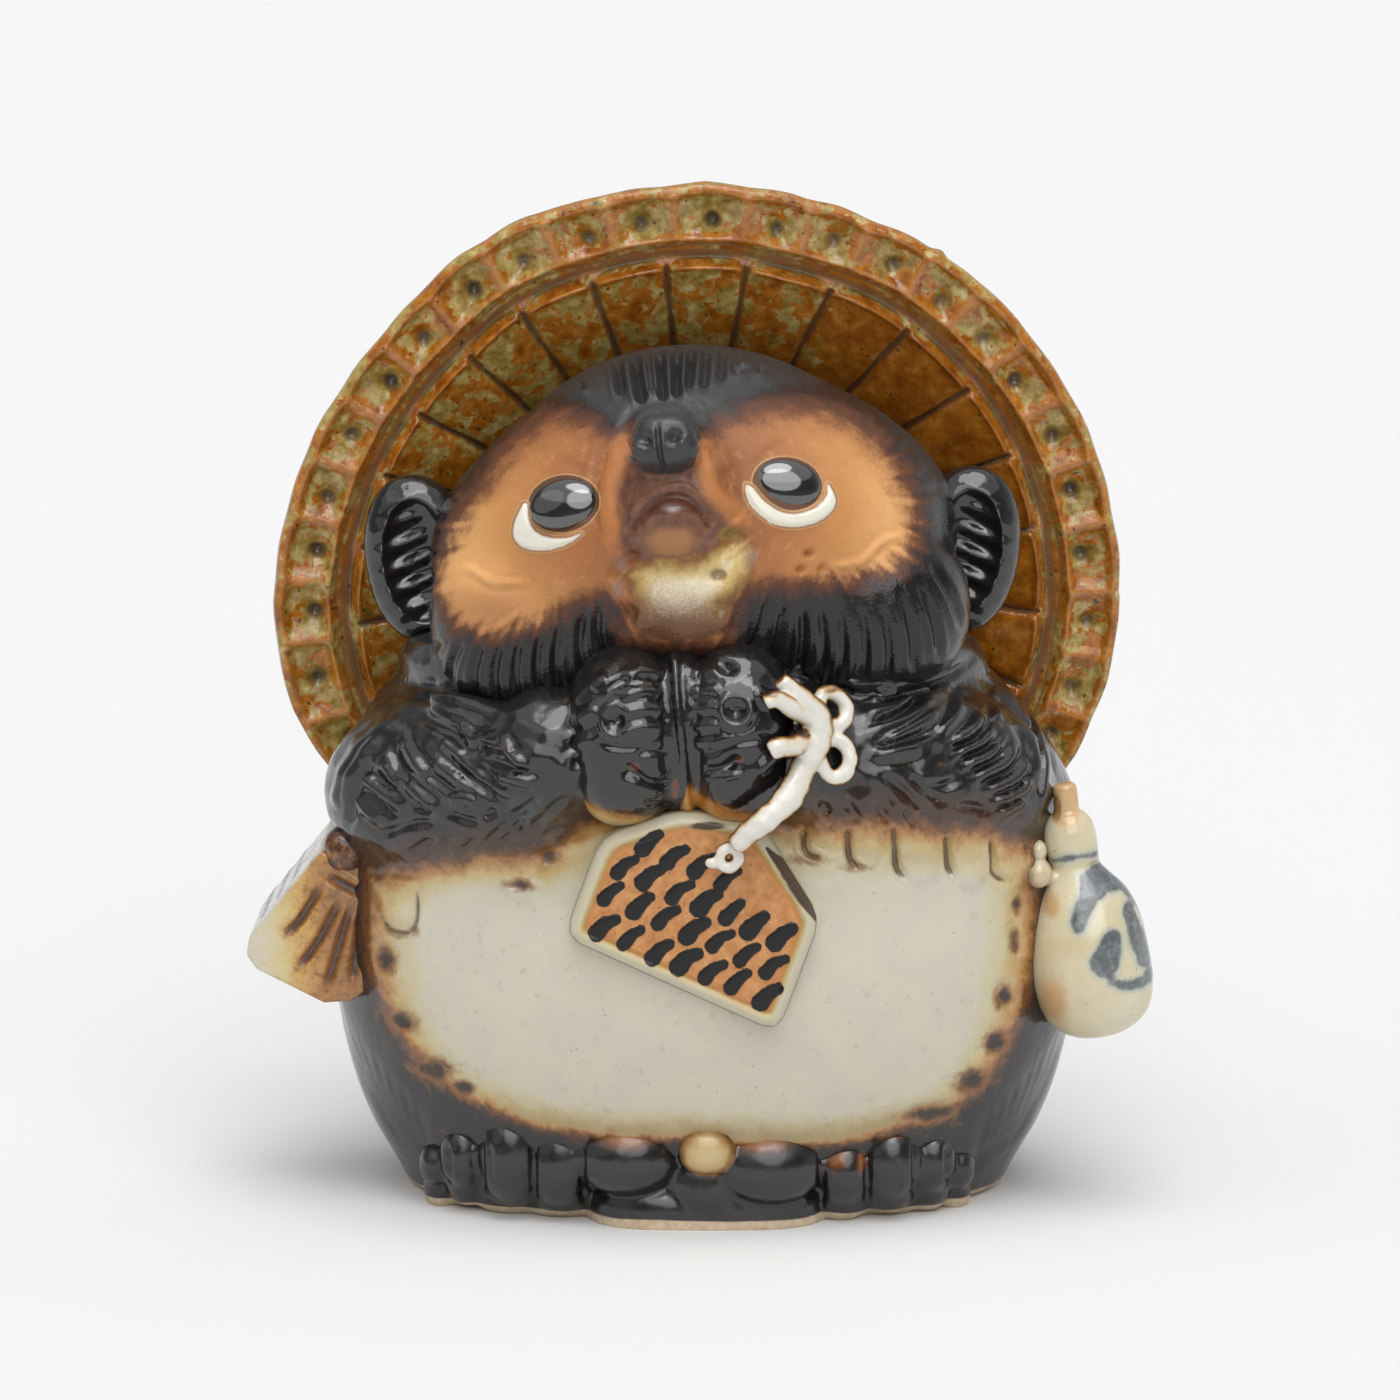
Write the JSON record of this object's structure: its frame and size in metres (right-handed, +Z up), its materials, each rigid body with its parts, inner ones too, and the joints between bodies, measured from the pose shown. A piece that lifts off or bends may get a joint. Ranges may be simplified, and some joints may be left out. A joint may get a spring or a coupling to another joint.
{
  "type": "tanuki statue",
  "caption": "Glazed stoneware figure of a sitting raccoon dog with a straw hat on its back, paws together over a round belly, a ledger and a sake flask at its hips.",
  "frame": {"origin": "on the standing face, under the middle of the bounding box", "axes": "+Z up, +X to the right of someone facing the figure, +Y to the figure's back; the figure faces -Y"},
  "size_m": [0.1606, 0.1052, 0.1809],
  "materials": {
    "glazed_stoneware": "thick transparent glaze over black, brown, tan and cream, with a narrow bare strip at the foot"
  },
  "bodies": {
    "root": {"tanuki_statue": "glazed_stoneware"}
  },
  "joints": []
}
